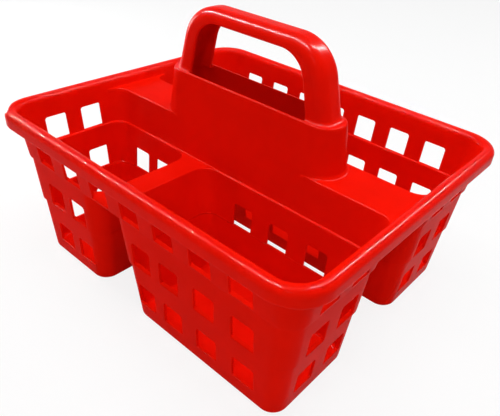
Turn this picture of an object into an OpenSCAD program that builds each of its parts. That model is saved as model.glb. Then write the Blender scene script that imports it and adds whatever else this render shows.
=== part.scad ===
// Carry caddy for art supplies: two open trays either side of a hollow ridge, with
// perforated bins hanging under them and an arched handle standing on the ridge.
// The real thing is one thin-walled moulding. Its regions are separate solids here
// that meet face to face. Origin: on the ground, under the middle of the rim.

/* [Rim] */
// Length of the rim, over its outside
rim_l = 301; // [275:1:340]
// Width of the rim, over its outside
rim_w = 255.5; // [235:0.5:285]
// Height of the top of the rim above the ground
rim_top = 127; // [122:0.5:140]
// Outside radius of the rim's corners, seen from above
rim_corner_r = 27; // [24:1:40]
// Width of the rolled lip, from its outer face to the tray's inner face
lip_w = 9.4; // [7:0.2:12]
// Height of the lip, from its skirt's lower edge to the top
lip_h = 11.5; // [8:0.5:13]

/* [Walls] */
// Thickness of every wall, floor and deck
wall_t = 2; // [1.2:0.1:2.4]
// Outward lean of the tray walls, per unit of height
tray_draft = 0.12; // [0.04:0.01:0.14]
// Width of the step at the foot of the trays
step_w = 1.6; // [1:0.1:3]
// Height of the step, the top face of the trays' shelves
step_z = 89.5; // [84:0.5:98]

/* [Bins] */
// Inset of the bins' long outer walls at the ground, from the rim's outer face
long_wall_inset = 18.9; // [16:0.1:24]
// Inset of the bins' end walls at the ground, from the rim's outer face
end_wall_inset = 22.1; // [17:0.1:28]
// Distance of the bins' ridge-side walls from the middle, at the ground
ridge_foot_y = 29; // [23:0.2:32]
// Corner radius of the bins at the ground
foot_corner_r = 12; // [8:0.5:16]
// Bevel of the bins' floors along their lower edge
foot_bevel = 1.6; // [0.5:0.1:3]
// Inside radius of the trays' and bins' corners beside the ridge and the gap
ridge_corner_r = 13; // [8:0.5:18]
// Inner end of the small front bin at the ground
small_bin_end_x = -52; // [-58:0.5:-47]
// Inner end of the large front bin at the ground
large_bin_end_x = -10.5; // [-18:0.5:-5]
// Left edge of the divider's flat top
divider_left_x = -45; // [-48:0.5:-40]
// Right edge of the divider's flat top
divider_right_x = -25; // [-30:0.5:-22]

/* [Wall holes] */
// Width of a hole
hole_w = 18.5; // [12:0.5:22]
// Height of a hole, but for the bottom row
hole_h = 19.5; // [12:0.5:22]
// Height of a hole in the bottom row
low_hole_h = 18; // [12:0.5:22]
// Corner radius at the top of a hole
hole_corner_r = 2; // [0.5:0.5:4]
// Lower edge of the middle row
middle_row_z = 51; // [44:0.5:56]
// Lower edge of the bottom row
bottom_row_z = 13.5; // [8:0.5:18]
// Pitch of the holes along the long walls
long_pitch = 33.4; // [28:0.1:34]
// Middle of the large bin's first lower hole, beside the gap
large_first_x = 5; // [0:0.5:8]
// Pitch of the large bin's holes on the ridge side
large_ridge_pitch = 35.4; // [28:0.2:38]
// Middle of the large bin's holes on the ridge side
large_ridge_x = 54.5; // [48:0.5:60]
// Middle of the small bin's lower holes
small_mid_x = -85; // [-90:0.5:-80]
// Middle of the small bin's holes on the ridge side
small_ridge_x = -90; // [-93:0.5:-86]
// Pitch of the small bin's lower holes
small_pitch = 28.5; // [24:0.5:30]
// Middle of each pair of holes in the end walls, from the middle of the ridge
end_holes_y = 67; // [62:0.5:72]
// Pitch of the holes in the end walls
end_pitch = 32.2; // [26:0.2:35]

/* [Ridge and tower] */
// Height of the flat deck at each end of the ridge
deck_z = 118; // [114:0.5:121]
// Half-width of the deck's top face
deck_half_w = 19.5; // [17.5:0.5:22]
// Height of the tower's top edge
tower_top = 154; // [145:1:170]
// Distance of the axes of the tower's round ends from the middle
tower_end_x = 64.8; // [62:0.2:80]

/* [Handle] */
// Height of the top of the handle
handle_top = 206; // [200:0.5:230]
// Outside half-length of the handle where it leaves the tower
handle_foot_x = 73.6; // [69:0.2:77]
// Lean of the legs' outer faces towards the middle, per unit of height
leg_lean = 0.27; // [0.1:0.01:0.35]
// Outside radius of the handle's bends
bend_r = 32; // [28:0.5:40]
// Height of the grip, from its top to the finger opening
grip_h = 10; // [8:0.5:14]
// Half-length of the finger opening where the legs leave the tower
finger_foot_x = 56.4; // [50:0.2:59]
// Lean of the legs' inner edges towards the middle, per unit of height
finger_lean = 0.22; // [0.05:0.01:0.25]
// Radius of the finger opening's upper corners
finger_r = 21; // [12:0.5:22]
// Width of the handle, over its sides
handle_w = 24; // [20:0.5:26]
// Rounding of the handle's outer edges
handle_edge_r = 8.5; // [3:0.5:9]

/* [Hidden] */
red = [0.85, 0.05, 0.03];
over = 1;                    // how far a cutter runs past the face it cuts
steps = 8;                   // facets in a quarter turn of a wall's corner
$fn = 64;

long_columns = 7;            // holes in a full row of a long wall
rear_ridge_columns = 6;      // holes in the rear bin's ridge-side wall, in a row
rear_join_x = long_pitch/2;  // where the two parts of the rear bin's wall meet
deck_low = deck_z - wall_t;  // underside of the deck, where the tray walls end
shelf_low = step_z - wall_t; // underside of the shelves, where the bin walls end
long_reach = long_wall_inset + wall_t + over;   // depth of a cutter through a long wall
end_reach = end_wall_inset + wall_t + over;     // depth of a cutter through an end wall

// ---- where the walls stand at a height z ----

// Outer faces of the tray walls, from the middle
function wall_x(z) = rim_l/2 - lip_w + wall_t - tray_draft*(rim_top - z);
function wall_y(z) = rim_w/2 - lip_w + wall_t - tray_draft*(rim_top - z);
function wall_r(z) = rim_corner_r - lip_w + wall_t - tray_draft*(rim_top - z);
// Tray side of the ridge's walls, from the middle
function ridge_y(z) = deck_half_w + tray_draft*(deck_z - z);

// ---- outlines: [bounds x0 x1 y0 y1, corner radii from +x +y anticlockwise] ----

function arc(cx, cy, r, from, to) =
    [for (i = [0:steps]) let (a = from + (to - from)*i/steps) [cx + r*cos(a), cy + r*sin(a)]];
function ring(s) = let (b = s[0], r = s[1]) concat(
    arc(b[1] - r[0], b[3] - r[0], r[0], 0, 90), arc(b[0] + r[1], b[3] - r[1], r[1], 90, 180),
    arc(b[0] + r[2], b[2] + r[2], r[2], 180, 270), arc(b[1] - r[3], b[2] + r[3], r[3], 270, 360));
function inset(s, d) = [s[0] + d*[1, -1, 1, -1], s[1] - d*[1, 1, 1, 1]];

inner_r = ridge_corner_r + wall_t;          // corner beside the ridge or the gap
outer_r = wall_r(step_z) - step_w;          // bins' corner under a corner of the rim

// Front tray, over its walls, at the height z
tray = function (z) [[-wall_x(z), wall_x(z), -wall_y(z), -ridge_y(z) + wall_t],
    [inner_r, inner_r, wall_r(z), wall_r(z)]];

// A front bin, over its walls
function bin(z, ends_low, ends_high, r) = let (k = z/step_z,
    low = [ends_low[0], ends_low[1], long_wall_inset - rim_w/2, -ridge_foot_y],
    high = [ends_high[0], ends_high[1], step_w - wall_y(step_z), wall_t - step_w - ridge_y(step_z)])
    [low*(1 - k) + high*k, foot_corner_r*[1, 1, 1, 1]*(1 - k) + r*k];
end_low = rim_l/2 - end_wall_inset;
end_high = wall_x(step_z) - step_w;
small_bin = function (z) bin(z, [-end_low, small_bin_end_x],
    [-end_high, divider_left_x + wall_t], [inner_r, inner_r, outer_r, inner_r]);
large_bin = function (z) bin(z, [large_bin_end_x, end_low],
    [divider_right_x - wall_t, end_high], [inner_r, inner_r, inner_r, outer_r]);
// The rear bin is as long as its tray; it is drawn in front and mirrored
rear_bin = function (z) bin(z, [-end_low, end_low],
    [-end_high, end_high], [inner_r, inner_r, outer_r, outer_r]);

// Deck: the strip left between the two trays' openings
function deck(z) = let (x = wall_x(z) - wall_t, y = ridge_y(z), r = ridge_corner_r) concat(
    arc(x - r, y + r, r, 0, -90), arc(r - x, y + r, r, 270, 180),
    arc(r - x, -y - r, r, 180, 90), arc(x - r, -y - r, r, 90, 0));

// ---- shapes ----

// Solid between two outlines of as many points
module frustum(low, high, z0, z1) {
    n = len(low);
    polyhedron(
        points = concat([for (p = low) [p[0], p[1], z0]], [for (p = high) [p[0], p[1], z1]]),
        faces = concat([[for (i = [0:n - 1]) i]], [[for (i = [n - 1:-1:0]) n + i]],
            [for (i = [0:n - 1]) [i, i + n, (i + 1)%n + n]],
            [for (i = [0:n - 1]) [i, (i + 1)%n + n, (i + 1)%n]]));
}

// Solid inside the outline f(z), from z0 to z1, with its corners drawn in by d
module block(f, z0, z1, d = 0) {
    frustum(ring(inset(f(z0), d)), ring(inset(f(z1), d)), z0, z1);
}

// Wall of thickness wall_t inside the outline f(z)
module shell(f, z0, z1) {
    difference() {
        block(f, z0, z1);
        block(f, z0 - over, z1 + over, wall_t);
    }
}

// Stadium-shaped block over the tower's two axes, with its sides leaning in
module stadium(r0, r1, z0, z1) {
    for (s = [-1, 1])
        translate([s*tower_end_x, 0, z0])
            cylinder(h = z1 - z0, r1 = r0, r2 = r1);
    translate([-tower_end_x, 0, 0])
        rotate([90, 0, 90])
            linear_extrude(2*tower_end_x)
                polygon([[-r0, z0], [r0, z0], [r1, z1], [-r1, z1]]);
}

// The tower's hollow
module tower_hollow(z0, z1) {
    stadium(ridge_y(z0) - wall_t, ridge_y(z1) - wall_t, z0, z1);
}

// Middles of n holes in a row about the place mid
function columns(n, mid, pitch) = [for (i = [0:n - 1]) mid + (i - (n - 1)/2)*pitch];

// Outline of a hole, standing on the x axis
module hole_shape(w, h) {
    r = hole_corner_r;
    translate([-w/2, 0])
        square([w, h - r]);
    translate([r - w/2, 0])
        square([w - 2*r, h]);
    for (s = [-1, 1])
        translate([s*(w/2 - r), h - r])
            circle(r);
}

// A row of holes in the front long wall
module long_holes(places, z, h) {
    for (x = places)
        translate([x, long_reach - rim_w/2, z])
            rotate([90, 0, 0])
                linear_extrude(long_reach)
                    hole_shape(hole_w, h);
}

// A row of holes in a ridge-side wall of the front bins
module ridge_holes(places, z, h) {
    for (x = places)
        translate([x, -deck_half_w + wall_t, z])
            rotate([90, 0, 0])
                linear_extrude(ridge_foot_y + wall_t + over - deck_half_w + wall_t)
                    hole_shape(hole_w, h);
}

// A pair of holes in an end wall, on the side s of the middle
module end_holes(s, z, h) {
    for (k = [-1, 1])
        translate([s*rim_l/2, -end_holes_y + k*end_pitch/2, z])
            rotate([90, 0, -90*s])
                linear_extrude(end_reach)
                    hole_shape(hole_w, h);
}

// ---- rim and trays ----

// Section of the rolled lip, with x measured from a corner's axis
module lip_section() {
    lip_r = lip_w/(2 - tray_draft);
    roll_z = rim_top - lip_r;
    skirt_z = rim_top - lip_h;
    inner_foot = rim_corner_r - lip_w - tray_draft*(rim_top - deck_low);
    difference() {
        union() {
            translate([rim_corner_r - lip_r, roll_z])
                circle(lip_r);
            polygon([[rim_corner_r, skirt_z], [rim_corner_r, roll_z],
                [rim_corner_r - 2*lip_r, roll_z], [inner_foot, deck_low],
                [inner_foot + wall_t, deck_low], [inner_foot + wall_t, skirt_z]]);
        }
        translate([rim_corner_r - lip_r, roll_z])
            circle(lip_r - wall_t);
        polygon([[rim_corner_r - wall_t, skirt_z - over], [rim_corner_r - wall_t, roll_z],
            [rim_corner_r - 2*lip_r + wall_t, roll_z], [inner_foot + wall_t, deck_low],
            [inner_foot + wall_t, skirt_z - over]]);
    }
}

module lip_side(length) {
    rotate([90, 0, 0])
        linear_extrude(length, center = true)
            lip_section();
}

module rim() {
    x = rim_l/2 - rim_corner_r;
    y = rim_w/2 - rim_corner_r;
    color(red)
        for (s = [0, 180])
            rotate([0, 0, s]) {
                translate([x, y, 0])
                    rotate_extrude(angle = 90)
                        lip_section();
                translate([x, -y, 0])
                    rotate([0, 0, -90])
                        rotate_extrude(angle = 90)
                            lip_section();
                translate([x, 0, 0])
                    lip_side(2*y);
                translate([0, y, 0])
                    rotate([0, 0, 90])
                        lip_side(2*x);
            }
}

// Wall of the front tray, from the step up to the deck
module tray_wall() {
    difference() {
        shell(tray, step_z, deck_low);
        long_holes(columns(long_columns, 0, long_pitch), step_z, hole_h);
        for (s = [-1, 1])
            end_holes(s, step_z, hole_h);
    }
}

module front_tray_wall() {
    color(red)
        tray_wall();
}

module rear_tray_wall() {
    color(red)
        mirror([0, 1, 0])
            tray_wall();
}

// Floor of the tray, with the step around each bin's mouth and the divider between them
module shelf(bins) {
    difference() {
        block(tray, shelf_low, step_z);
        for (f = bins)
            block(f, shelf_low - over, step_z + over, wall_t);
    }
}

module front_shelf() {
    color(red)
        shelf([small_bin, large_bin]);
}

module rear_shelf() {
    color(red)
        mirror([0, 1, 0])
            shelf([rear_bin]);
}

// ---- bins ----

module bin_floor(f) {
    frustum(ring(inset(f(0), foot_bevel)), ring(f(wall_t)), 0, wall_t);
}

// Wall of a bin, with two rows of holes in its long wall and in the end walls listed;
// ridge_low and ridge_mid are the places of the holes on its ridge side, row by row
module bin_wall(f, long_places, ridge_low, ridge_mid, ends) {
    difference() {
        shell(f, wall_t, shelf_low);
        for (row = [[bottom_row_z, low_hole_h, ridge_low], [middle_row_z, hole_h, ridge_mid]]) {
            long_holes(long_places, row[0], row[1]);
            ridge_holes(row[2], row[0], row[1]);
            for (s = ends)
                end_holes(s, row[0], row[1]);
        }
    }
}

module small_front_bin_wall() {
    color(red)
        bin_wall(small_bin, columns(2, small_mid_x, small_pitch),
            [], columns(2, small_ridge_x, small_pitch), [-1]);
}

module small_front_bin_floor() {
    color(red)
        bin_floor(small_bin);
}

module large_front_bin_wall() {
    color(red)
        bin_wall(large_bin, concat(large_first_x, [for (i = [1:3]) i*long_pitch]),
            [], columns(3, large_ridge_x, large_ridge_pitch), [1]);
}

module large_front_bin_floor() {
    color(red)
        bin_floor(large_bin);
}

// Part of the rear bin's wall from x0 to x1
module rear_bin_wall(x0, x1) {
    ridge_places = columns(rear_ridge_columns, 0, long_pitch);
    color(red)
        mirror([0, 1, 0])
            intersection() {
                bin_wall(rear_bin, columns(long_columns, 0, long_pitch),
                    ridge_places, ridge_places, [-1, 1]);
                translate([x0, -rim_w/2, 0])
                    cube([x1 - x0, rim_w/2, rim_top]);
            }
}

module rear_bin_left_wall() {
    rear_bin_wall(-rim_l/2, rear_join_x);
}

module rear_bin_right_wall() {
    rear_bin_wall(rear_join_x, rim_l/2);
}

module rear_bin_floor() {
    color(red)
        mirror([0, 1, 0])
            bin_floor(rear_bin);
}

// ---- ridge and tower ----

module ridge_deck() {
    mouth_r = ridge_y(deck_z) - wall_t;
    color(red)
        translate([0, 0, deck_low])
            linear_extrude(wall_t)
                difference() {
                    polygon(deck(deck_z));
                    for (s = [-1, 1])
                        translate([s*tower_end_x, 0])
                            circle(mouth_r);
                    square(2*[tower_end_x, mouth_r], center = true);
                }
}

// Hollow tower, open between the handle's legs and under their channels
module handle_tower() {
    cap_low = tower_top - wall_t;
    color(red)
        difference() {
            stadium(ridge_y(deck_z), ridge_y(tower_top), deck_z, tower_top);
            tower_hollow(deck_z - over, cap_low);
            intersection() {
                tower_hollow(cap_low - over, tower_top + over);
                translate([-finger_foot_x, -deck_half_w, cap_low - 2*over])
                    cube([2*finger_foot_x, 2*deck_half_w, wall_t + 4*over]);
            }
            translate([wall_t - handle_foot_x, wall_t - handle_w/2, cap_low - over])
                cube([2*(handle_foot_x - wall_t), handle_w - 2*wall_t, wall_t + 2*over]);
        }
}

// ---- handle ----

bend_z = handle_top - bend_r;
bend_x = handle_foot_x + leg_lean*(tower_top - bend_z) - bend_r*sqrt(1 + leg_lean^2);
channel_d = 24;              // how far the handle's section reaches in, past its inner edge

// Section of the handle, with x measured outwards from a bend's axis
module handle_section(d) {
    r = handle_edge_r - d;
    w = handle_w/2 - d;
    x = bend_r - d;
    translate([bend_r - channel_d - d, -w])
        square([channel_d - r, 2*w]);
    translate([bend_r - channel_d - d, r - w])
        square([channel_d, 2*(w - r)]);
    for (s = [-1, 1])
        translate([x - r, s*(w - r)])
            circle(r);
}

// Right bend and leg swept with the handle's section drawn in by d
module leg_sweep(d) {
    translate([bend_x, 0, bend_z])
        rotate([90, -atan(leg_lean), 0]) {
            rotate_extrude(angle = 90 - atan(leg_lean))
                handle_section(d);
            rotate([90, 0, 0])
                linear_extrude(handle_top - tower_top)
                    handle_section(d);
        }
}

// Finger opening, cut right through along y
module finger_opening() {
    z = handle_top - grip_h - finger_r;
    x = finger_foot_x + finger_lean*(tower_top - z) - finger_r*sqrt(1 + finger_lean^2);
    foot = [finger_foot_x + finger_lean*over, tower_top - over];
    bend = [x, z] + finger_r*[1, finger_lean]/sqrt(1 + finger_lean^2);
    rotate([90, 0, 0])
        linear_extrude(handle_w + 2*over, center = true) {
            for (s = [-1, 1])
                translate([s*x, z])
                    circle(finger_r);
            translate([-x, z])
                square([2*x, finger_r]);
            polygon([foot, bend, [-bend[0], bend[1]], [-foot[0], foot[1]]]);
        }
}

// Right leg with its bend, hollow and open on its inner side
module right_handle_leg() {
    color(red)
        difference() {
            leg_sweep(0);
            leg_sweep(wall_t);
            finger_opening();
            translate([-rim_l/2, -rim_w/2, 0])
                cube([rim_l, rim_w, tower_top]);
        }
}

module left_handle_leg() {
    mirror([1, 0, 0])
        right_handle_leg();
}

module handle_grip() {
    color(red)
        difference() {
            translate([-bend_x, 0, bend_z])
                rotate([90, 0, 90])
                    linear_extrude(2*bend_x)
                        rotate(90)
                            difference() {
                                handle_section(0);
                                handle_section(wall_t);
                            }
            finger_opening();
        }
}

rim();
front_tray_wall();
rear_tray_wall();
front_shelf();
rear_shelf();
small_front_bin_wall();
small_front_bin_floor();
large_front_bin_wall();
large_front_bin_floor();
rear_bin_left_wall();
rear_bin_right_wall();
rear_bin_floor();
ridge_deck();
handle_tower();
left_handle_leg();
right_handle_leg();
handle_grip();
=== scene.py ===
"""Carry caddy for art supplies: the look of its one red moulding, region by region."""

import math
from collections import namedtuple
from functools import partial

import bmesh
import bpy
import numpy as np
from mathutils import Matrix, Vector, geometry


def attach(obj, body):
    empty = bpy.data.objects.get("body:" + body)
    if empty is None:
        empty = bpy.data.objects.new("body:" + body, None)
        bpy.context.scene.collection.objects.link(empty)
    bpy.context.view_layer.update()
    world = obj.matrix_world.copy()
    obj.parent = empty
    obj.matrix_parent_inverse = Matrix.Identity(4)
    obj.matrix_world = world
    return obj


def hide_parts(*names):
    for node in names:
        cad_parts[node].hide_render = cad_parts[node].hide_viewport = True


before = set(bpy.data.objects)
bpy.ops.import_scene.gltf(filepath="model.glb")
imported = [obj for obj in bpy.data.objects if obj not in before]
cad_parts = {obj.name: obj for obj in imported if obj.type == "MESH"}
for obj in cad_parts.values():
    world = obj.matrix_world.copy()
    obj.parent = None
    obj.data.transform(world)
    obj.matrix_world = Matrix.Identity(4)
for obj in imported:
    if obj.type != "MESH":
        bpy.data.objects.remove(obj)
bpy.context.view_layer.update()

MM = 0.001
WELD = 1e-6  # metres: points closer than this are one point
SAME = 1e-4  # places or angles closer than this are the same

# ---- sizes, in millimetres, as the solids have them ----

# the rim
RIM_LENGTH = 301.0
RIM_WIDTH = 255.5
RIM_TOP = 127.0
RIM_CORNER = 27.0
LIP_WIDTH = 9.4
LIP_HEIGHT = 11.5
# the walls, the shelves at the trays' feet and the bins below them
WALL = 2.0
DRAFT = 0.12  # how far a wall leans for its height
STEP_WIDTH = 1.6
STEP_Z = 89.5  # top of the shelves
SHELF_LOW = STEP_Z - WALL
LEDGE = 1.5  # how far a bin steps out at its middle row of holes
INNER_LEDGE = 0.4
LONG_INSET = 18.9  # from the rim's edge to the bins' feet
END_INSET = 22.1
RIDGE_FOOT = 29.0  # from the middle line to the bins' feet
FOOT_CORNER = 12.0
RIDGE_CORNER = 13.0
SMALL_END = -52.0  # the ends of the two front bins that face each other, at the feet
LARGE_END = -10.5
DIVIDER = (-45.0, -25.0)  # the shelf's strip between them
# the square holes: rows by the height of their lower edge, then each side's run
HOLE_WIDTH = 18.5
HOLE_HEIGHT = 19.5
LOW_HOLE_HEIGHT = 18.0
HOLE_CORNER = 2.0
MIDDLE_ROW = 51.0
BOTTOM_ROW = 13.5
LONG_PITCH = 33.4
LARGE_FIRST = 5.0
LARGE_RIDGE_PITCH = 35.4
LARGE_RIDGE_MIDDLE = 54.5
SMALL_MIDDLE = -85.0
SMALL_RIDGE_MIDDLE = -90.0
SMALL_PITCH = 28.5
END_MIDDLE = 67.0
END_PITCH = 32.2
# the ridge and its tower
DECK_Z = 118.0
DECK_LOW = DECK_Z - WALL
DECK_HALF = 19.5
TOWER_TOP = 154.0
TOWER_AXIS = 64.8  # from the middle to the axis of each round end
# the handle
HANDLE_TOP = 206.0
HANDLE_FOOT = 73.6
LEG_LEAN = 0.27
BEND = 32.0
GRIP_HEIGHT = 10.0
FINGER_FOOT = 56.4
FINGER_LEAN = 0.22
FINGER_CORNER = 21.0
HANDLE_WIDTH = 24.0
HANDLE_EDGE = 8.5
HANDLE_WALL = 2.6

# ---- small roundings that the moulding has ----

HOLE_EDGE = 0.4
LEDGE_ROUND = 0.6
MOUTH_ROUND = 0.8
TRAY_FILLET = 0.5
FLOOR_FILLET = 2.5
FOOT_ROUND = 3.0
DECK_ROUND = 1.3
TOWER_FILLET = 3.0
TOWER_ROUND = 1.5
SLOT_ROUND = 0.3
LEG_FILLET = 3.0
FLANGE_ROUND = 1.0
CORNER_STEPS = 12  # stations round each corner of an outline


def quarter(n):
    """Angles of n + 1 stations along a quarter round."""
    return [math.pi / 2 * i / n for i in range(n + 1)]


def quarter_round(radius, n):
    """(rise, gap) of n + 1 stations round a fillet: rise goes from 0 to radius, gap back to 0."""
    return [(radius * (1 - math.cos(a)), radius * (1 - math.sin(a))) for a in quarter(n)]


# ---- outlines: ((x0, x1, y0, y1), corner radii from +x +y anticlockwise) ----


def wall_x(z):
    return RIM_LENGTH / 2 - LIP_WIDTH + WALL - DRAFT * (RIM_TOP - z)


def wall_y(z):
    return RIM_WIDTH / 2 - LIP_WIDTH + WALL - DRAFT * (RIM_TOP - z)


def wall_corner(z):
    return RIM_CORNER - LIP_WIDTH + WALL - DRAFT * (RIM_TOP - z)


def ridge_y(z):
    return DECK_HALF + DRAFT * (DECK_Z - z)


INNER_CORNER = RIDGE_CORNER + WALL
OUTER_CORNER = wall_corner(STEP_Z) - STEP_WIDTH
END_LOW = RIM_LENGTH / 2 - END_INSET
END_HIGH = wall_x(STEP_Z) - STEP_WIDTH


def tray(z, up=0):
    """Outline of a tray over its wall. It has no ledge, so up changes nothing."""
    x, y, r = wall_x(z), wall_y(z), wall_corner(z)
    return (-x, x, -y, WALL - ridge_y(z)), (INNER_CORNER, INNER_CORNER, r, r)


def bin_shape(ends_low, ends_high, ends_ledge, corners):
    """Outline of a bin over its walls, as a function of height: up is 0 below its ledge, 1 above.

    ends_low and ends_high are its ends' places at the floor and at the step, ends_ledge how far
    the ledge sets each end out, and corners the radii at the step.
    """
    low = np.array([*ends_low, LONG_INSET - RIM_WIDTH / 2, -RIDGE_FOOT])
    high = np.array([*ends_high, STEP_WIDTH - wall_y(STEP_Z), WALL - STEP_WIDTH - ridge_y(STEP_Z)])
    ledge = np.array([-ends_ledge[0], ends_ledge[1], -LEDGE, INNER_LEDGE])
    ledge_corner = np.array([INNER_LEDGE, INNER_LEDGE, ends_ledge[0], ends_ledge[1]])
    corners = np.array(corners)

    def outline_at(z, up=0):
        k = z / STEP_Z
        bounds = low * (1 - k) + high * k + ledge * (up - k)
        radii = FOOT_CORNER * (1 - k) + corners * k + ledge_corner * (up - k)
        return tuple(bounds), tuple(radii)

    return outline_at


small_bin = bin_shape(
    (-END_LOW, SMALL_END), (-END_HIGH, DIVIDER[0] + WALL), (LEDGE, INNER_LEDGE),
    (INNER_CORNER, INNER_CORNER, OUTER_CORNER, INNER_CORNER))
large_bin = bin_shape(
    (LARGE_END, END_LOW), (DIVIDER[1] - WALL, END_HIGH), (INNER_LEDGE, LEDGE),
    (INNER_CORNER, INNER_CORNER, INNER_CORNER, OUTER_CORNER))
long_bin = bin_shape(
    (-END_LOW, END_LOW), (-END_HIGH, END_HIGH), (LEDGE, LEDGE),
    (INNER_CORNER, INNER_CORNER, OUTER_CORNER, OUTER_CORNER))

# sides of an outline, anticlockwise: (direction along it, outward direction)
RIGHT, RIDGE, LEFT, FRONT = range(4)
SIDES = [((0, 1), (1, 0)), ((-1, 0), (0, 1)), ((0, -1), (-1, 0)), ((1, 0), (0, -1))]
SPARE = 0.6  # least distance from a grid line to the start of a corner

# a side's straight part, its reach outwards, the corners' radii and its points' places along it
Span = namedtuple("Span", "first last reach before after places")


def side_run(bounds, side):
    """(start, end, reach) of a side: its span along its own direction, and how far out it is."""
    x0, x1, y0, y1 = bounds
    return [(y0, y1, x1), (-x1, -x0, y1), (-y1, -y0, -x0), (x0, x1, -y0)][side]


def outline(shape, inset=0, lines=None):
    """Points of an outline drawn in by inset, anticlockwise, and each point's (side, place).

    lines gives each side the places of further points along it; those near a corner lie on
    its arc. Other points have the place None.
    """
    (x0, x1, y0, y1), corners = shape
    bounds = (x0 + inset, x1 - inset, y0 + inset, y1 - inset)
    corners = [r - inset for r in corners]
    lines = lines or {}
    spans = []
    for side in range(4):
        start, end, reach = side_run(bounds, side)
        before, after = corners[(side - 1) % 4], corners[side]
        places = lines.get(side, [])
        first, last = start + before, end - after
        begin, finish = first, last
        if places:
            begin, finish = min(first, places[0] - SPARE), max(last, places[-1] + SPARE)
        spans.append(Span(first, last, reach, before, after, [begin, *places, finish]))
    points, tags = [], []
    for side, span in enumerate(spans):
        along, out = (np.array(v, float) for v in SIDES[side])
        for n, s in enumerate(span.places):
            far, r = 0, 1
            if s < span.first:
                far, r = span.first - s, span.before
            elif s > span.last:
                far, r = s - span.last, span.after
            rise = math.sqrt(max(r * r - far * far, 0))
            points.append(along * s + out * (span.reach - r + rise))
            tags.append((side, s if 0 < n < len(span.places) - 1 else None))
        centre = along * span.last + out * (span.reach - span.after)
        following = spans[(side + 1) % 4]
        begin = math.asin(max(span.places[-1] - span.last, 0) / span.after)
        finish = math.pi / 2 - math.asin(
            max(following.first - following.places[0], 0) / span.after)
        for i in range(1, CORNER_STEPS):
            a = begin + (finish - begin) * i / CORNER_STEPS
            points.append(centre + span.after * (math.cos(a) * out + math.sin(a) * along))
            tags.append((side, None))
    return points, tags


# ---- meshes ----


def mesh_object(name, points, faces, attributes=None, edges=()):
    """Object of a mesh given in millimetres, with its place in the mesh."""
    mesh = bpy.data.meshes.new(name)
    mesh.from_pydata([tuple(MM * c for c in p) for p in points], edges, faces)
    for key, (kind, values) in (attributes or {}).items():
        layer = mesh.attributes.new(key, kind, "POINT")
        layer.data.foreach_set("vector" if kind == "FLOAT_VECTOR" else "value", values)
    thing = bpy.data.objects.new(name, mesh)
    bpy.context.scene.collection.objects.link(thing)
    return thing


def close_and_orient(thing):
    """Joins doubled points and turns every face outwards."""
    shape = bmesh.new()
    shape.from_mesh(thing.data)
    bmesh.ops.remove_doubles(shape, verts=shape.verts, dist=WELD)
    bmesh.ops.dissolve_degenerate(shape, edges=shape.edges, dist=WELD)
    bmesh.ops.recalc_face_normals(shape, faces=shape.faces)
    if shape.calc_volume(signed=True) < 0:
        bmesh.ops.reverse_faces(shape, faces=shape.faces)
    shape.to_mesh(thing.data)
    shape.free()


def keep_result(thing):
    """Turns the object's live modifiers into its plain mesh."""
    view = bpy.context.evaluated_depsgraph_get()
    mesh = bpy.data.meshes.new_from_object(
        thing.evaluated_get(view), preserve_all_data_layers=True, depsgraph=view)
    old = thing.data
    thing.modifiers.clear()
    thing.data = mesh
    mesh.name = thing.name
    bpy.data.meshes.remove(old)


SHARP = math.radians(42)  # edges that turn more than this stay sharp


def smooth_faces(thing):
    """Shades flat faces flat and small roundings round."""
    thing.data.shade_smooth()
    thing.data.set_sharp_from_angle(angle=SHARP)
    even = thing.modifiers.new("even_shading", "WEIGHTED_NORMAL")
    even.keep_sharp = True
    keep_result(thing)


def mirror_to_rear(thing):
    """Moves a front piece to its mirrored place behind the ridge."""
    thing.data.transform(Matrix.Diagonal((1, -1, 1, 1)))
    close_and_orient(thing)


def stack(loops, first=0):
    """Faces between successive closed loops of as many points, numbered from first."""
    n = len(loops[0])
    faces = []
    for j in range(len(loops) - 1):
        a, b = first + j * n, first + (j + 1) * n
        faces += [(a + i, a + (i + 1) % n, b + (i + 1) % n, b + i) for i in range(n)]
    return faces


def lift(loop, z):
    """The loop's points at the height z."""
    return [(p[0], p[1], z) for p in loop]


def contour(shape, z, inset=0, up=0):
    """Loop of a tray's or bin's outline at the height z, drawn in by inset."""
    return lift(outline(shape(z, up), inset)[0], z)


def flat_fill(loops, starts):
    """Triangles that fill a flat face between an outer loop and the loops of its openings;
    starts has the number of each loop's first point."""
    order = [start + i for loop, start in zip(loops, starts) for i in range(len(loop))]
    triangles = geometry.tessellate_polygon([[Vector(p) for p in loop] for loop in loops])
    return [tuple(order[i] for i in t) for t in triangles]


def pierced_plate(name, outer, openings):
    """Closed plate: outer is its edge's loops from the underside up, and each opening's loops
    go from the top face down."""
    points, faces, tops, lows = [], [], [], []
    for n, loops in enumerate([outer, *openings]):
        start = len(points)
        size = len(loops[0])
        faces += stack(loops, start)
        for loop in loops:
            points += loop
        last = start + (len(loops) - 1) * size
        tops.append((loops[-1], last) if n == 0 else (loops[0], start))
        lows.append((loops[0], start) if n == 0 else (loops[-1], last))
    for ring in (tops, lows):
        faces += flat_fill([r[0] for r in ring], [r[1] for r in ring])
    thing = mesh_object(name, points, faces)
    close_and_orient(thing)
    return thing


# ---- geometry node trees ----


def feed(tree, socket, value):
    """Links a socket to value if that is a socket, or sets it."""
    if isinstance(value, bpy.types.NodeSocket):
        tree.links.new(value, socket)
    else:
        socket.default_value = value


def add_node(tree, kind, feeds=None, **settings):
    """New node; feeds has the value or the socket for an input, by the input's name or number."""
    node = tree.nodes.new(kind)
    for key, value in settings.items():
        setattr(node, key, value)
    for key, value in (feeds or {}).items():
        feed(tree, node.inputs[key], value)
    return node


def figure(tree, operation, *values):
    """Result of a math node that works on values or sockets."""
    return add_node(
        tree, "ShaderNodeMath", dict(enumerate(values)), operation=operation).outputs[0]


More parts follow.
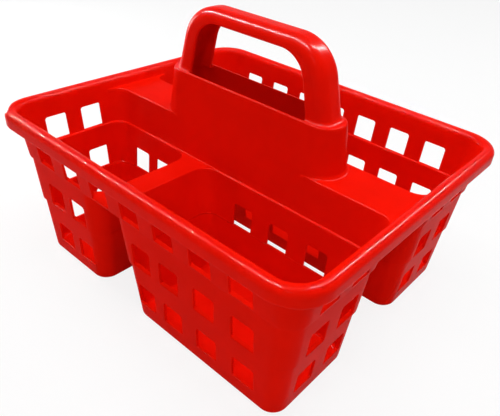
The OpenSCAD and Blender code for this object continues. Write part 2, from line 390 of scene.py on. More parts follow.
def new_tree(name, inputs):
    """Tree with these (label, socket type) inputs: the tree, its inputs' sockets, its result's."""
    tree = bpy.data.node_groups.new(name, "GeometryNodeTree")
    for label, kind in inputs:
        tree.interface.new_socket(label, in_out="INPUT", socket_type=kind)
    tree.interface.new_socket("Result", in_out="OUTPUT", socket_type="NodeSocketGeometry")
    given = add_node(tree, "NodeGroupInput").outputs
    return tree, given, add_node(tree, "NodeGroupOutput").inputs[0]


def painted(tree, shape, material):
    """The shape as real geometry, with its material."""
    real = add_node(tree, "GeometryNodeRealizeInstances", {0: shape})
    return add_node(tree, "GeometryNodeSetMaterial", {
        "Geometry": real.outputs[0], "Material": material}).outputs[0]


SAME_WAY = 0.7  # least cosine between a face's normal and the way its wall faces


def window_row_tree():
    """Cuts a row of equal windows in the wall that faces one way."""
    sizes = ["Middle", "Pitch", "Count", "Width", "Sill", "Head"]
    tree, given, result = new_tree("window_row", [
        ("Wall", "NodeSocketGeometry"), ("Along", "NodeSocketVector"),
        ("Facing", "NodeSocketVector"), *[(label, "NodeSocketFloat") for label in sizes]])
    calc = partial(figure, tree)

    def dot(a, b):
        return add_node(tree, "ShaderNodeVectorMath", {0: a, 1: b},
                        operation="DOT_PRODUCT").outputs["Value"]

    place = add_node(tree, "GeometryNodeInputPosition").outputs[0]
    normal = add_node(tree, "GeometryNodeInputNormal").outputs[0]
    height = add_node(tree, "ShaderNodeSeparateXYZ", {0: place}).outputs["Z"]
    reach = calc("SUBTRACT", dot(place, given["Along"]), given["Middle"])
    last = calc("SUBTRACT", given["Count"], 1.0)
    half = calc("MULTIPLY", last, 0.5)
    column = calc("ROUND", calc("ADD", calc("DIVIDE", reach, given["Pitch"]), half))
    column = calc("MINIMUM", calc("MAXIMUM", column, 0.0), last)
    middle = calc("MULTIPLY", calc("SUBTRACT", column, half), given["Pitch"])
    off = calc("ABSOLUTE", calc("SUBTRACT", reach, middle))
    tests = [
        calc("LESS_THAN", off, calc("MULTIPLY", given["Width"], 0.5)),
        calc("GREATER_THAN", height, given["Sill"]),
        calc("LESS_THAN", height, given["Head"]),
        calc("GREATER_THAN", dot(normal, given["Facing"]), SAME_WAY),
    ]
    chosen = tests[0]
    for test in tests[1:]:
        chosen = calc("MULTIPLY", chosen, test)
    opened = add_node(tree, "GeometryNodeDeleteGeometry", {
        "Geometry": given["Wall"], "Selection": calc("GREATER_THAN", chosen, 0.5)},
        domain="FACE", mode="ALL")
    feed(tree, result, opened.outputs[0])
    return tree


def wall_thickness_tree():
    """Gives a wall's outer skin its thickness: each point holds its way to the inner skin."""
    tree, given, result = new_tree("wall_thickness", [
        ("Skin", "NodeSocketGeometry"), ("Weld distance", "NodeSocketFloat"),
        ("Material", "NodeSocketMaterial")])
    way = add_node(tree, "GeometryNodeInputNamedAttribute", {"Name": "way_in"},
                   data_type="FLOAT_VECTOR")
    push = add_node(tree, "GeometryNodeExtrudeMesh", {
        "Mesh": given["Skin"], "Offset": way.outputs["Attribute"], "Offset Scale": 1.0,
        "Individual": False}, mode="FACES")
    mark = add_node(tree, "GeometryNodeStoreNamedAttribute", {
        "Geometry": push.outputs["Mesh"], "Selection": push.outputs["Top"], "Name": "inner",
        "Value": 1.0}, data_type="FLOAT", domain="POINT")
    turn = add_node(tree, "GeometryNodeFlipFaces", {0: mark.outputs[0]})
    join = add_node(tree, "GeometryNodeJoinGeometry")
    for skin in (turn.outputs[0], given["Skin"]):
        feed(tree, join.inputs[0], skin)
    weld = add_node(tree, "GeometryNodeMergeByDistance", {
        "Geometry": join.outputs[0], "Distance": given["Weld distance"]})
    feed(tree, result, painted(tree, weld.outputs[0], given["Material"]))
    return tree


def lip_sweep_tree():
    """Sweeps the lip's section round a rectangle with rounded corners."""
    tree, given, result = new_tree("lip_sweep", [
        ("Section", "NodeSocketGeometry"), ("Length", "NodeSocketFloat"),
        ("Width", "NodeSocketFloat"), ("Corner radius", "NodeSocketFloat"),
        ("Corner steps", "NodeSocketInt"), ("Material", "NodeSocketMaterial")])
    path = add_node(tree, "GeometryNodeCurvePrimitiveQuadrilateral", {
        "Width": given["Length"], "Height": given["Width"]}, mode="RECTANGLE")
    corners = add_node(tree, "GeometryNodeFilletCurve", {
        "Curve": path.outputs[0], "Radius": given["Corner radius"],
        "Count": given["Corner steps"]}, mode="POLY")
    upright = add_node(tree, "GeometryNodeSetCurveNormal", {"Curve": corners.outputs[0]},
                       mode="Z_UP")
    section = add_node(tree, "GeometryNodeMeshToCurve", {"Mesh": given["Section"]})
    sweep = add_node(tree, "GeometryNodeCurveToMesh", {
        "Curve": upright.outputs[0], "Profile Curve": section.outputs[0]})
    feed(tree, result, painted(tree, sweep.outputs[0], given["Material"]))
    return tree


def apply_tree(thing, tree, **values):
    """Adds the tree as a modifier, with each value given to the input of that name."""
    modifier = thing.modifiers.new(tree.name, "NODES")
    modifier.node_group = tree
    named = {s.name.lower().replace(" ", "_"): s.identifier for s in tree.interface.items_tree
             if s.in_out == "INPUT"}
    for key, value in values.items():
        modifier[named[key]] = value


# ---- the red plastic ----


RED = (0.82, 0.006, 0.001)
RUBBED = (0.902, 0.02, 0.008)  # where the gloss is worn dull
BUMP_HEIGHT = 0.0001  # metres


def new_group(name, inputs, outputs):
    """Shader group: the group, its inputs' sockets and its results'."""
    group = bpy.data.node_groups.new(name, "ShaderNodeTree")
    for label, kind, value in inputs:
        socket = group.interface.new_socket(label, in_out="INPUT", socket_type=kind)
        socket.default_value = value
    for label, kind in outputs:
        group.interface.new_socket(label, in_out="OUTPUT", socket_type=kind)
    given = add_node(group, "NodeGroupInput").outputs
    return group, given, add_node(group, "NodeGroupOutput").inputs


def moulded_skin_group():
    """Colour drift, rubbed places and fine orange peel of a moulded gloss surface."""
    colour, number = "NodeSocketColor", "NodeSocketFloat"
    group, given, result = new_group("moulded_skin", [
        ("Colour", colour, (*RED, 1)), ("Rubbed colour", colour, (*RUBBED, 1)),
        ("Roughness", number, 0.25), ("Rubbed roughness", number, 0.5),
        ("Drift size", number, 30.0), ("Peel size", number, 700.0), ("Rub amount", number, 0.3)],
        [("Colour", colour), ("Roughness", number), ("Height", number)])
    calc = partial(figure, group)
    place = add_node(group, "ShaderNodeTexCoord").outputs["Object"]

    def noise(size, detail, rough=0.5):  # size is in features for each metre
        return add_node(group, "ShaderNodeTexNoise", {
            "Vector": place, "Scale": size, "Detail": detail, "Roughness": rough}).outputs["Fac"]

    def spread(value, start, end, low, high):
        """Takes start to low and end to high, smoothly."""
        return add_node(group, "ShaderNodeMapRange", dict(enumerate(
            (value, start, end, low, high))), interpolation_type="SMOOTHSTEP").outputs[0]

    drift = spread(noise(given["Drift size"], 3.0), 0.3, 0.7, 0.93, 1.0)
    flecks = spread(noise(420.0, 4.0, 0.7), 0.62, 0.8, 0.0, 1.0)
    patches = spread(noise(45.0, 4.0, 0.6), 0.5, 0.75, 0.0, 1.0)
    rubbed = calc("MULTIPLY", calc("MULTIPLY", flecks, patches), given["Rub amount"])
    drifted = add_node(group, "ShaderNodeVectorMath", {0: given["Colour"], "Scale": drift},
                       operation="SCALE")
    mixed = add_node(group, "ShaderNodeMix", {
        0: rubbed, 6: drifted.outputs[0], 7: given["Rubbed colour"]}, data_type="RGBA")
    feed(group, result["Colour"], mixed.outputs[2])
    rough = add_node(group, "ShaderNodeMix", {
        0: rubbed, 2: given["Roughness"], 3: given["Rubbed roughness"]}, data_type="FLOAT")
    streaks = spread(noise(160.0, 5.0, 0.65), 0.35, 0.75, 0.9, 1.25)
    feed(group, result["Roughness"], calc("MULTIPLY", rough.outputs[0], streaks))
    peel = calc("MULTIPLY", noise(given["Peel size"], 2.0), 0.35)
    feed(group, result["Height"], calc("ADD", peel, noise(95.0, 2.0)))
    return group


SKIN = moulded_skin_group()


def red_plastic(name, roughness, shine, rub, peel):
    """Moulded red: shine scales its reflections, rub its dull flecks and peel its unevenness."""
    material = bpy.data.materials.new(name)
    material.use_nodes = True
    tree = material.node_tree
    skin = add_node(tree, "ShaderNodeGroup", node_tree=SKIN)
    for label, value in (("Colour", (*RED, 1)), ("Rubbed colour", (*RUBBED, 1)),
                         ("Roughness", roughness), ("Rub amount", rub)):
        skin.inputs[label].default_value = value
    bump = add_node(tree, "ShaderNodeBump", {
        "Strength": peel, "Distance": BUMP_HEIGHT, "Height": skin.outputs["Height"]})
    shader = tree.nodes["Principled BSDF"].inputs
    feed(tree, shader["Base Color"], skin.outputs["Colour"])
    feed(tree, shader["Roughness"], skin.outputs["Roughness"])
    feed(tree, shader["Normal"], bump.outputs[0])
    shader["Specular IOR Level"].default_value = shine
    return material


GLOSS = red_plastic("red_gloss", roughness=0.2, shine=0.0045, rub=0.25, peel=0.35)
RIM_GLOSS = red_plastic("red_gloss_rim", roughness=0.07, shine=0.012, rub=0.12, peel=0.45)
HANDLE_GLOSS = red_plastic("red_gloss_handle", roughness=0.2, shine=0.012, rub=0.3, peel=0.35)

# ---- perforated walls ----

WINDOW_ROW = window_row_tree()
WALL_THICKNESS = wall_thickness_tree()
LIP_SWEEP = lip_sweep_tree()

# a row of windows: its side, the place of its middle, the windows' pitch and number, and their
# lower edge and height
Row = namedtuple("Row", "side middle pitch count sill height")


def window_middles(row):
    """Places of the windows' middles along the side."""
    return [row.middle + (i - (row.count - 1) / 2) * row.pitch for i in range(row.count)]


def grid_lines(rows):
    """Places along each side where the wall's grid has a line, at the edges of its windows."""
    lines = {}
    for row in rows:
        places = lines.setdefault(row.side, set())
        for middle in window_middles(row):
            for across in (0, HOLE_CORNER / 2, HOLE_CORNER):
                half = HOLE_WIDTH / 2 - across
                places |= {round(middle - half, 6), round(middle + half, 6)}
    return {side: sorted(places) for side, places in lines.items()}


def round_window_corners(rows, grid, tags, heights):
    """Draws the grid's points at the windows' upper corners onto their arcs."""
    half = HOLE_CORNER / 2
    stations = ((0, half, 22.5), (0, 0, 45), (half, 0, 67.5))  # (across, down, degrees)
    moved = grid.copy()
    for row in rows:
        head = row.sill + row.height
        top = min(range(len(heights)), key=lambda j: abs(heights[j] - head))
        along = np.array([*SIDES[row.side][0], 0.0])
        for middle in window_middles(row):
            for sign in (-1, 1):
                for across, down, angle in stations:
                    a = math.radians(angle)
                    shift = HOLE_CORNER * (1 - math.cos(a)) - across
                    fall = HOLE_CORNER * (1 - math.sin(a)) - down
                    place = middle + sign * (HOLE_WIDTH / 2 - across)
                    i = next(n for n, (side, at) in enumerate(tags)
                             if side == row.side and at is not None and abs(at - place) < SAME)
                    j = top - 1 if down else top
                    step = heights[j] - heights[j - 1]
                    moved[j, i] = (grid[j, i] - sign * shift * along
                                   + (grid[j - 1, i] - grid[j, i]) * fall / step)
    return moved


def perforated_wall(name, shape, levels, rows, material):
    """Wall that follows shape through its levels, with rows of windows.

    A level is (z, up, inset) of the outer skin and the same of the inner one.
    """
    lines = grid_lines(rows)
    skins = []
    for skin in zip(*levels):
        grid = []
        for z, up, inset in skin:
            points, tags = outline(shape(z, up), inset, lines)
            grid.append([(*p, z) for p in points])
        heights = [z for z, up, inset in skin]
        skins.append(round_window_corners(rows, np.array(grid), tags, heights))
    outer, inner = skins
    way = (inner - outer).reshape(-1, 3) * MM
    border = np.zeros(outer.shape[:2])
    border[[0, -1]] = 1
    faces = stack([range(outer.shape[1])] * len(levels))
    thing = mesh_object(name, outer.reshape(-1, 3), faces, {
        "way_in": ("FLOAT_VECTOR", way.ravel()), "border": ("FLOAT", border.ravel())})
    thing.data.materials.append(material)
    for row in rows:
        along, facing = ((float(x), float(y), 0.0) for x, y in SIDES[row.side])
        apply_tree(thing, WINDOW_ROW, along=along, facing=facing, middle=row.middle * MM,
                   pitch=row.pitch * MM, count=float(row.count), width=HOLE_WIDTH * MM,
                   sill=row.sill * MM, head=(row.sill + row.height) * MM)
    apply_tree(thing, WALL_THICKNESS, weld_distance=WELD, material=material)
    keep_result(thing)
    soften_window_edges(thing)
    smooth_faces(thing)
    return thing


def soften_window_edges(thing):
    """Rounds the windows' edges on both faces of the wall, but not its top and bottom borders."""
    close_and_orient(thing)
    shape = bmesh.new()
    shape.from_mesh(thing.data)
    inner = shape.verts.layers.float["inner"]
    border = shape.verts.layers.float["border"]
    weight = shape.edges.layers.float.new("bevel_weight_edge")
    for edge in shape.edges:  # both marks are 0 or 1 at each point
        a, b = edge.verts
        on_one_face = abs(a[inner] - b[inner]) < 0.5
        on_border = a[border] + b[border] > 1.5
        turns = len(edge.link_faces) == 2 and edge.calc_face_angle() > SHARP
        if turns and on_one_face and not on_border:
            edge[weight] = 1
    shape.to_mesh(thing.data)
    shape.free()
    soft = thing.modifiers.new("soft_edges", "BEVEL")
    soft.limit_method = "WEIGHT"
    soft.width = HOLE_EDGE * MM
    soft.segments = 2
    soft.use_clamp_overlap = False
    keep_result(thing)


def window_heights(sill, height):
    """Heights of the grid's lines at a row's upper corners."""
    head = sill + height
    return [head - HOLE_CORNER, head - HOLE_CORNER / 2, head]


def tray_levels():
    """Levels of a tray's wall, from the shelf to the deck, with a fillet on the shelf."""
    levels = [((STEP_Z + rise, 0, 0), (STEP_Z + rise, 0, WALL + gap))
              for rise, gap in quarter_round(TRAY_FILLET, 3)]
    levels += [((z, 0, 0), (z, 0, WALL))
               for z in (*window_heights(STEP_Z, HOLE_HEIGHT), DECK_LOW)]
    return levels


def foot_inset(z):
    """How far the rounded foot of a bin is drawn in at the height z."""
    rise = max(FOOT_ROUND - z, 0)
    return FOOT_ROUND - math.sqrt(FOOT_ROUND ** 2 - rise ** 2)


def bin_levels():
    """Levels of a bin's wall, from its floor to the shelf."""
    levels = []
    for rise, gap in quarter_round(FLOOR_FILLET, 3):
        z = WALL + rise
        levels.append(((z, 0, foot_inset(z)), (z, 0, WALL + gap)))
    levels += [((z, 0, 0), (z, 0, WALL))
               for z in (BOTTOM_ROW, *window_heights(BOTTOM_ROW, LOW_HOLE_HEIGHT))]
    levels += [((z, up, 0), (w, v, WALL)) for (z, up), (w, v) in ledge_levels()]
    levels += [((z, 1, 0), (z, 1, WALL))
               for z in (*window_heights(MIDDLE_ROW, HOLE_HEIGHT), SHELF_LOW)]
    return levels


def ledge_levels():
    """(z, up) outside and inside, over the ledge: it is crossed a wall lower outside."""
    r = LEDGE_ROUND
    wide = r / LEDGE  # share of the ledge that its rounding takes
    tip = 1 - math.sqrt(0.5)
    under, over = MIDDLE_ROW - WALL, MIDDLE_ROW
    flat = 1 - 2 * wide
    outside = [(under - r, 0), (under - r * tip, wide * tip), (under, wide), (under, 1 - wide),
               (under + r * tip, 1 - wide * tip), (under + r, 1), (over, 1), (over + r, 1),
               (over + 2 * r, 1)]
    inside = [(over - r, 0), (over - r * tip, wide * tip),
              *[(over, wide + flat * share) for share in (0, 0.3, 0.5, 0.7, 1)],
              (over + r * tip, 1 - wide * tip), (over + r, 1)]
    return zip(outside, inside)


def end_rows(sides, sill, height):
    """The pair of windows in each end wall; a rear piece is made as a front one and mirrored."""
    return [Row(side, -END_MIDDLE if side == RIGHT else END_MIDDLE, END_PITCH, 2, sill, height)
            for side in sides]


def bin_rows(front, ridge, ends, ridge_low=False):
    """Two rows of windows; the ridge side has its lower row only where ridge_low says so."""
    rows = []
    for sill, height in ((BOTTOM_ROW, LOW_HOLE_HEIGHT), (MIDDLE_ROW, HOLE_HEIGHT)):
        rows += [Row(FRONT, *run, sill, height) for run in front]
        if sill == MIDDLE_ROW or ridge_low:
            rows.append(Row(RIDGE, *ridge, sill, height))
        rows += end_rows(ends, sill, height)
    return rows


def tray_rows():
    """The row of windows round a tray, but for the side of the ridge."""
    return [Row(FRONT, 0, LONG_PITCH, 7, STEP_Z, HOLE_HEIGHT),
            *end_rows((RIGHT, LEFT), STEP_Z, HOLE_HEIGHT)]


front_tray_sides = perforated_wall("front_tray_sides", tray, tray_levels(), tray_rows(), GLOSS)
rear_tray_sides = perforated_wall("rear_tray_sides", tray, tray_levels(), tray_rows(), GLOSS)
mirror_to_rear(rear_tray_sides)
small_bin_sides = perforated_wall(
    "small_bin_sides", small_bin, bin_levels(), bin_rows(
        front=[(SMALL_MIDDLE, SMALL_PITCH, 2)],
        ridge=(-SMALL_RIDGE_MIDDLE, SMALL_PITCH, 2), ends=[LEFT]), GLOSS)
large_bin_sides = perforated_wall(
    "large_bin_sides", large_bin, bin_levels(), bin_rows(
        front=[(LARGE_FIRST, LONG_PITCH, 1), (2 * LONG_PITCH, LONG_PITCH, 3)],
        ridge=(-LARGE_RIDGE_MIDDLE, LARGE_RIDGE_PITCH, 3), ends=[RIGHT]), GLOSS)
long_bin_sides = perforated_wall(
    "long_bin_sides", long_bin, bin_levels(), bin_rows(
        front=[(0, LONG_PITCH, 7)],
        ridge=(0, LONG_PITCH, 6), ends=[LEFT, RIGHT], ridge_low=True), GLOSS)
mirror_to_rear(long_bin_sides)

# ---- shelves and floors ----


def shelf_plate(name, bins):
    """Shelf at the foot of a tray: rounded under its edge and round the mouths of its bins."""
    edge = quarter_round(MOUTH_ROUND, 3)
    outer = [contour(tray, SHELF_LOW + rise, gap) for rise, gap in edge]
    outer.append(contour(tray, STEP_Z))
    openings = [[*[contour(shape, STEP_Z - rise, WALL - gap, up=1) for rise, gap in edge],
                 contour(shape, SHELF_LOW, WALL, up=1)] for shape in bins]
    return pierced_plate(name, outer, openings)


def bin_base(name, shape):
    """Floor of a bin, with the lower part of its rounded foot."""
    heights = [rise for rise, gap in quarter_round(FOOT_ROUND, 6) if rise < WALL]
    return pierced_plate(name, [contour(shape, z, foot_inset(z)) for z in (*heights, WALL)], [])


front_shelf = shelf_plate("front_divider_shelf", [small_bin, large_bin])
rear_shelf = shelf_plate("rear_step_shelf", [long_bin])
mirror_to_rear(rear_shelf)
small_base = bin_base("small_bin_base", small_bin)
large_base = bin_base("large_bin_base", large_bin)
long_base = bin_base("long_bin_base", long_bin)
mirror_to_rear(long_base)

# ---- ridge top and tower ----

DECK_STEPS = 60
NEARLY_END = 0.05  # least cosine to divide by, near the tower's ends
FADE_START, FADE_END = TOWER_AXIS + 1, TOWER_AXIS + 14


def deck_rounding(x):
    """Radius of the rounding of the ridge's top edge, which is sharp beside the tower."""
    t = min(max((abs(x) - FADE_START) / (FADE_END - FADE_START), 0), 1)
    return DECK_ROUND * (t * t * (3 - 2 * t))


def deck_loop(z, drop):
    """Edge of the ridge's top at height z; drop is 0 below its rounding and 1 at the top face."""
    tip = wall_x(z) - WALL
    run = [i * tip / DECK_STEPS for i in range(DECK_STEPS + 1)]
    loop = []
    for sx, sy in ((1, 1), (-1, 1), (-1, -1), (1, -1)):
        part = []
        for x in run:
            corner = max(x - (tip - RIDGE_CORNER), 0)
            y = ridge_y(z) + RIDGE_CORNER - math.sqrt(RIDGE_CORNER ** 2 - corner ** 2)
            part.append((sx * x, sy * (y - deck_rounding(x) * drop)))
        loop += part[::-1] if sx * sy > 0 else part[1:]
    return loop


def ridge_top_plate():
    """Flat top of the ridge, open where the tower stands."""
    outer = [lift(deck_loop(DECK_LOW, 0), DECK_LOW)]
    for rise, gap in quarter_round(1, 4):
        outer.append([(x, y, DECK_Z - deck_rounding(x) * gap) for x, y in deck_loop(DECK_Z, rise)])
    mouth = stadium_loop(lambda turn: ridge_y(DECK_Z) - WALL)
    return pierced_plate("ridge_top", outer, [[lift(mouth, DECK_Z), lift(mouth, DECK_LOW)]])


def stadium_loop(radius, steps=28):
    """Loop round the tower's two axes; radius takes the angle turned from the straight side."""
    loop = []
    for s in (1, -1):
        for i in range(steps + 1):
            a = -math.pi / 2 + math.pi * i / steps
            turn = math.pi / 2 - abs(a)
            r = radius(turn)
            loop.append((s * (TOWER_AXIS + r * math.cos(a)), s * r * math.sin(a)))
    return loop


def slot_loop(grow):
    """Edge of the tower's top opening: the finger slot, and the channels inside the legs."""
    wide = ridge_y(TOWER_TOP) - WALL + grow
    narrow = HANDLE_WIDTH / 2 - HANDLE_WALL + grow
    near = FINGER_FOOT + grow
    r = HANDLE_EDGE - HANDLE_WALL + grow
    far = HANDLE_FOOT - HANDLE_WALL + grow
    part = [(far - r + r * math.cos(a), narrow - r + r * math.sin(a)) for a in quarter(6)]
    part += [(near, narrow), (near, wide), *[(near * k, wide) for k in (0.75, 0.5, 0.25)]]
    back = part[::-1]
    return [*part, *[(-x, y) for x, y in back], *[(-x, -y) for x, y in part],
            *[(x, -y) for x, y in back]]


def tower_foot(turn):
    """Reach of the fillet at the tower's foot, which runs out where the side is flush."""
    if turn < SAME:
        return 0
    x = TOWER_AXIS + DECK_HALF * math.sin(turn)
    edge = DECK_HALF - deck_rounding(x)
    return max(min(TOWER_FILLET, edge / max(math.cos(turn), NEARLY_END) - DECK_HALF), 0)


def tower_piece():
    """Hollow tower on its fillet, and its cap with the opening."""
    outer = []
    for rise, gap in quarter_round(1, 5):
        z = DECK_Z + TOWER_FILLET * rise
        outer.append(lift(stadium_loop(lambda turn: ridge_y(z) + tower_foot(turn) * gap), z))
    for rise, gap in quarter_round(TOWER_ROUND, 4):
        z = TOWER_TOP - gap
        outer.append(lift(stadium_loop(lambda turn: ridge_y(z) - rise), z))
    cap_low = TOWER_TOP - WALL
    slot = [lift(slot_loop(grow), z) for grow, z in (
        (SLOT_ROUND, TOWER_TOP), (SLOT_ROUND * 0.3, TOWER_TOP - SLOT_ROUND * 0.3),
        (0, TOWER_TOP - SLOT_ROUND), (0, cap_low))]
    inner = [lift(stadium_loop(lambda turn: ridge_y(z) - WALL), z) for z in (cap_low, DECK_Z)]
    points, faces, starts = [], [], []
    for loops in (outer, slot, inner):
        starts.append(len(points))
        faces += stack(loops, len(points))
        for loop in loops:
            points += loop
    ring, mouth = len(outer[0]), len(slot[0])
    top = starts[0] + (len(outer) - 1) * ring
    faces += flat_fill([outer[-1], slot[0]], [top, starts[1]])
    faces += flat_fill([inner[0], slot[-1]], [starts[2], starts[1] + (len(slot) - 1) * mouth])
    low = starts[2] + ring
    faces += [(i, (i + 1) % ring, low + (i + 1) % ring, low + i) for i in range(ring)]
    thing = mesh_object("tower", points, faces)
    close_and_orient(thing)
    return thing


ridge_top = ridge_top_plate()
tower = tower_piece()

# ---- handle: a channel that arches over the tower, open on its inner side ----

BEND_Z = HANDLE_TOP - BEND
BEND_X = HANDLE_FOOT + LEG_LEAN * (TOWER_TOP - BEND_Z) - BEND * math.hypot(1, LEG_LEAN)
FINGER_Z = HANDLE_TOP - GRIP_HEIGHT - FINGER_CORNER
FINGER_X = (FINGER_FOOT + FINGER_LEAN * (TOWER_TOP - FINGER_Z)
            - FINGER_CORNER * math.hypot(1, FINGER_LEAN))
SIDE_FLARE = 0.53  # a leg's foot flares less to its sides than to its end
BEND_STEPS = 16
ANY_DEPTH = 20  # the section's faces are the same at every depth


def channel_section(depth, flare=0):
    """Closed section as (distance from the channel's open edge, y); flare widens its foot."""
    half, wall, r = HANDLE_WIDTH / 2, HANDLE_WALL, HANDLE_EDGE
    flange = quarter_round(FLANGE_ROUND, 3)[::-1]
    outside = [(gap, half - rise + SIDE_FLARE * flare) for rise, gap in flange]
    for a in quarter(8):
        reach = SIDE_FLARE + (1 - SIDE_FLARE) * math.sin(a)
        outside.append((depth - r + r * math.sin(a) + flare * reach * math.sin(a),
                        half - r + r * math.cos(a) + flare * reach * math.cos(a)))
    inside = [(gap, half - wall + rise) for rise, gap in flange]
    inside += [(depth - r + (r - wall) * math.sin(a), half - r + (r - wall) * math.cos(a))
               for a in quarter(8)]
    loop = outside + [(d, -y) for d, y in outside[::-1]]
    return loop + [(d, -y) for d, y in inside] + inside[::-1]


def leg_stations():
    """(outer point, inner point, flare) up the right leg and round its bend, in x and z."""
    lean, finger = math.atan(LEG_LEAN), math.atan(FINGER_LEAN)

    def on_bend(a):
        return BEND_X + BEND * math.cos(a), BEND_Z + BEND * math.sin(a)

    def on_finger_bend(a):
        return FINGER_X + FINGER_CORNER * math.cos(a), FINGER_Z + FINGER_CORNER * math.sin(a)

    def part_way(foot, end, t):
        return foot + (end[0] - foot) * t, TOWER_TOP + (end[1] - TOWER_TOP) * t

    out_end, in_end = on_bend(lean), on_finger_bend(finger)
    shares = [(rise / (out_end[1] - TOWER_TOP), gap) for rise, gap in quarter_round(LEG_FILLET, 5)]
    shares += [(t, 0) for t in (0.3, 0.5, 0.75, 1.0)]
    stations = [(part_way(HANDLE_FOOT, out_end, t), part_way(FINGER_FOOT, in_end, t), flare)
                for t, flare in shares]
    last = math.acos((BEND_X - FINGER_X) / FINGER_CORNER)
    for i in range(1, BEND_STEPS + 1):
        k = i / BEND_STEPS
        stations.append((on_bend(lean + (math.pi / 2 - lean) * k),
                         on_finger_bend(finger + (last - finger) * k), 0))
    return stations


def grip_stations():
    """The same along the grip, from the right bend to the left one."""
    half = [BEND_X - (BEND_X - FINGER_X) * i / 4 for i in range(5)]
    half += [FINGER_X * k for k in (0.66, 0.33)]
    stations = []
    for x in (*half, 0, *[-x for x in half[::-1]]):
        past = max(abs(x) - FINGER_X, 0)
        low = FINGER_Z + math.sqrt(FINGER_CORNER ** 2 - past ** 2)
        stations.append(((x, HANDLE_TOP), (x, low), 0))
    return stations


def channel_piece(name, stations, side=1):
    """Channel through the stations; side is -1 for its mirrored twin on the left."""
    loops = []
    for out, into, flare in stations:
        out, into = np.array(out), np.array(into)
        depth = float(np.hypot(*(out - into)))
        way = (out - into) / depth
        loops.append([(side * (into[0] + way[0] * d), y, into[1] + way[1] * d)
                      for d, y in channel_section(depth, flare)])
    faces = stack(loops)
    end = [(d, y, 0) for d, y in channel_section(ANY_DEPTH)]
    for start in (0, (len(loops) - 1) * len(end)):
        faces += flat_fill([end], [start])
    thing = mesh_object(name, [p for loop in loops for p in loop], faces)
    close_and_orient(thing)
    return thing


right_leg = channel_piece("right_leg", leg_stations())
left_leg = channel_piece("left_leg", leg_stations(), side=-1)
hand_grip = channel_piece("hand_grip", grip_stations())

# ---- rolled rim ----

LIP_CORNER_STEPS = 16


def half_turn(n):
    """Angles of n + 1 stations along a half round."""
    return [math.pi * i / n for i in range(n + 1)]


def lip_section():
    """The rim's closed section, as (distance out from its path, height), and the path's radius
    at the corners."""
    lip = LIP_WIDTH / (2 - DRAFT)  # radius of the roll
    roll = RIM_TOP - lip
    skirt = RIM_TOP - LIP_HEIGHT
    foot = RIM_CORNER - LIP_WIDTH - DRAFT * (RIM_TOP - DECK_LOW)
    axis = RIM_CORNER - lip
    e = WALL / 2
    points = [(RIM_CORNER - e + e * math.cos(a), skirt + e - e * math.sin(a))
              for a in half_turn(6)[::-1]]
    points += [(axis + lip * math.cos(a), roll + lip * math.sin(a)) for a in half_turn(24)]
    points += [(foot, DECK_LOW), (foot + WALL, DECK_LOW)]
    points += [(axis - (lip - WALL) * math.cos(a), roll + (lip - WALL) * math.sin(a))
               for a in half_turn(16)]
    return [(x - axis, z) for x, z in points], axis


def rolled_rim_piece():
    """Rolled lip all round, with the wall it hangs from."""
    section, axis = lip_section()
    n = len(section)
    thing = mesh_object("rolled_rim", [(x, -z, 0) for x, z in section], [],
                        edges=[(i, (i + 1) % n) for i in range(n)])
    thing.data.materials.append(RIM_GLOSS)
    across = 2 * (RIM_CORNER - axis)
    apply_tree(thing, LIP_SWEEP, length=(RIM_LENGTH - across) * MM,
               width=(RIM_WIDTH - across) * MM, corner_radius=axis * MM,
               corner_steps=LIP_CORNER_STEPS, material=RIM_GLOSS)
    keep_result(thing)
    close_and_orient(thing)
    return thing


rolled_rim = rolled_rim_piece()

# ---- each piece stands for its solid ----

PIECES = [
    (rolled_rim, RIM_GLOSS, "rim"),
    (front_tray_sides, GLOSS, "front_tray_wall"),
    (rear_tray_sides, GLOSS, "rear_tray_wall"),
    (front_shelf, GLOSS, "front_shelf"),
    (rear_shelf, GLOSS, "rear_shelf"),
    (small_bin_sides, GLOSS, "small_front_bin_wall"),
    (small_base, GLOSS, "small_front_bin_floor"),
    (large_bin_sides, GLOSS, "large_front_bin_wall"),
    (large_base, GLOSS, "large_front_bin_floor"),
    (long_bin_sides, GLOSS, "rear_bin_left_wall", "rear_bin_right_wall"),
    (long_base, GLOSS, "rear_bin_floor"),
    (ridge_top, GLOSS, "ridge_deck"),
    (tower, GLOSS, "handle_tower"),
    (left_leg, HANDLE_GLOSS, "left_handle_leg"),
    (right_leg, HANDLE_GLOSS, "right_handle_leg"),
    (hand_grip, HANDLE_GLOSS, "handle_grip"),
]
for piece, material, *nodes in PIECES:
    if not piece.data.materials:
        piece.data.materials.append(material)
    smooth_faces(piece)
    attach(piece, "root")
    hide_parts(*nodes)

# ---- floor, light and camera ----

FLOOR_HALF = 6000.0  # millimetres
FLOOR_GREY = 0.75
FLOOR_WHITE = 0.85  # share of the floor seen as plain white; the rest keeps the caddy's shadow
SKY_LIGHT = 0.26
TUBE_WIDTH = 0.03  # metres


def shown_directly(tree):
    """1 for what the camera, a reflection or a clear piece shows of a white surround."""
    ray = add_node(tree, "ShaderNodeLightPath").outputs
    return figure(tree, "MAXIMUM", ray["Is Camera Ray"], figure(
        tree, "MAXIMUM", ray["Is Glossy Ray"], ray["Is Transmission Ray"]))


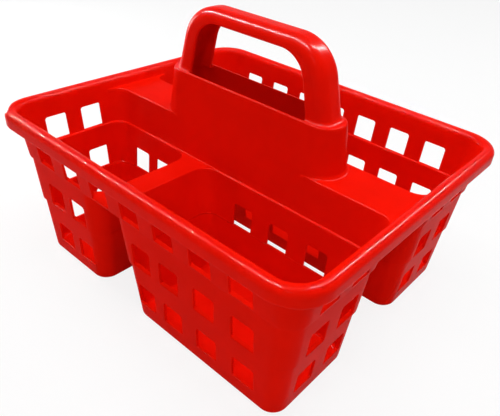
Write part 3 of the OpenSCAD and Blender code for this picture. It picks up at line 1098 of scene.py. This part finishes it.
def pale_floor():
    """White floor that still takes the caddy's shadow."""
    corners = [(-1, -1), (1, -1), (1, 1), (-1, 1)]
    floor = mesh_object("floor", [(FLOOR_HALF * x, FLOOR_HALF * y, 0) for x, y in corners],
                        [(0, 1, 2, 3)])
    material = bpy.data.materials.new("pale_floor")
    material.use_nodes = True
    tree = material.node_tree
    shader = tree.nodes["Principled BSDF"]
    shader.inputs["Base Color"].default_value = (FLOOR_GREY, FLOOR_GREY, FLOOR_GREY, 1)
    shader.inputs["Roughness"].default_value = 0.9
    shader.inputs["Specular IOR Level"].default_value = 0.1
    white = add_node(tree, "ShaderNodeEmission")
    blend = add_node(tree, "ShaderNodeMixShader", {
        0: figure(tree, "MULTIPLY", shown_directly(tree), FLOOR_WHITE),
        1: shader.outputs[0], 2: white.outputs[0]})
    feed(tree, tree.nodes["Material Output"].inputs[0], blend.outputs[0])
    floor.data.materials.append(material)


def pale_world():
    """Even light from all round, white where it is seen."""
    world = bpy.data.worlds.new("pale_room")
    bpy.context.scene.world = world
    world.use_nodes = True
    tree = world.node_tree
    light = tree.nodes["Background"]
    light.inputs["Color"].default_value = (1, 1, 1, 1)
    light.inputs["Strength"].default_value = SKY_LIGHT
    seen = add_node(tree, "ShaderNodeBackground")
    choose = add_node(tree, "ShaderNodeMixShader", {
        0: shown_directly(tree), 1: light.outputs[0], 2: seen.outputs[0]})
    feed(tree, tree.nodes["World Output"].inputs[0], choose.outputs[0])


def area_lamp(name, place, turn, power, **settings):
    """Lamp whose settings are the light's own, such as its shape and size."""
    lamp = bpy.data.lights.new(name, "AREA")
    lamp.energy = power
    for key, value in settings.items():
        setattr(lamp, key, value)
    thing = bpy.data.objects.new(name, lamp)
    thing.location = place
    thing.rotation_euler = turn
    bpy.context.scene.collection.objects.link(thing)
    return thing


def soft_lamp(name, place, aim, size, power, mirrored=True):
    """Round lamp that looks at aim; the plastic reflects it unless mirrored is false."""
    turn = (Vector(aim) - Vector(place)).to_track_quat("-Z", "Y").to_euler()
    area_lamp(name, place, turn, power, shape="DISK", size=size).visible_glossy = mirrored


def strip_lamp(name, place, length, power, turn=0):
    """Long tube overhead, seen only as a thin streak in the polished edges."""
    area_lamp(name, place, (0, 0, math.radians(turn)), power, shape="RECTANGLE",
              size=length, size_y=TUBE_WIDTH).visible_diffuse = False


PICTURE_WIDTH = 500  # pixels
SENSOR_WIDTH = 36  # millimetres
FOCAL = 538.394  # pixels
CENTRE_SHIFT = (-17.389, -7.247)  # pixels
CAMERA_TURN = (2.016, 0.802, -0.334)  # axis times angle, from the caddy's axes to the camera's
CAMERA_SHIFT = (-21.175, 47.037, 479.757)  # millimetres, along the camera's axes


def main_camera():
    """Camera in front of the caddy, to its right and above."""
    camera = bpy.data.cameras.new("camera")
    camera.sensor_width = SENSOR_WIDTH
    camera.lens = FOCAL / PICTURE_WIDTH * SENSOR_WIDTH
    camera.shift_x, camera.shift_y = (shift / PICTURE_WIDTH for shift in CENTRE_SHIFT)
    thing = bpy.data.objects.new("camera", camera)
    turn = Vector(CAMERA_TURN)
    from_camera = Matrix.Rotation(turn.length, 3, turn.normalized()).transposed()
    thing.rotation_euler = (from_camera @ Matrix.Diagonal((1, -1, -1))).to_euler()
    thing.location = -(from_camera @ Vector(CAMERA_SHIFT)) * MM
    bpy.context.scene.collection.objects.link(thing)
    bpy.context.scene.camera = thing


pale_floor()
pale_world()
soft_lamp("top", (0.12, -0.05, 1.4), aim=(0, 0, 0.1), size=1.1, power=12)
soft_lamp("front", (0.5, -0.85, 0.95), aim=(0, 0, 0.1), size=0.3, power=2.6)
soft_lamp("end", (-0.9, -0.05, 0.18), aim=(0, 0, 0.07), size=0.3, power=6)
soft_lamp("back", (0.3, 0.9, 0.95), aim=(0, 0, 0.12), size=0.4, power=3.5, mirrored=False)
strip_lamp("tube_front", (-1.0, -0.3, 1.1), length=2.4, power=650)
strip_lamp("tube_behind", (0.25, 1.0, 1.1), length=1.6, power=180, turn=90)
main_camera()
bpy.context.scene.view_settings.view_transform = "Standard"
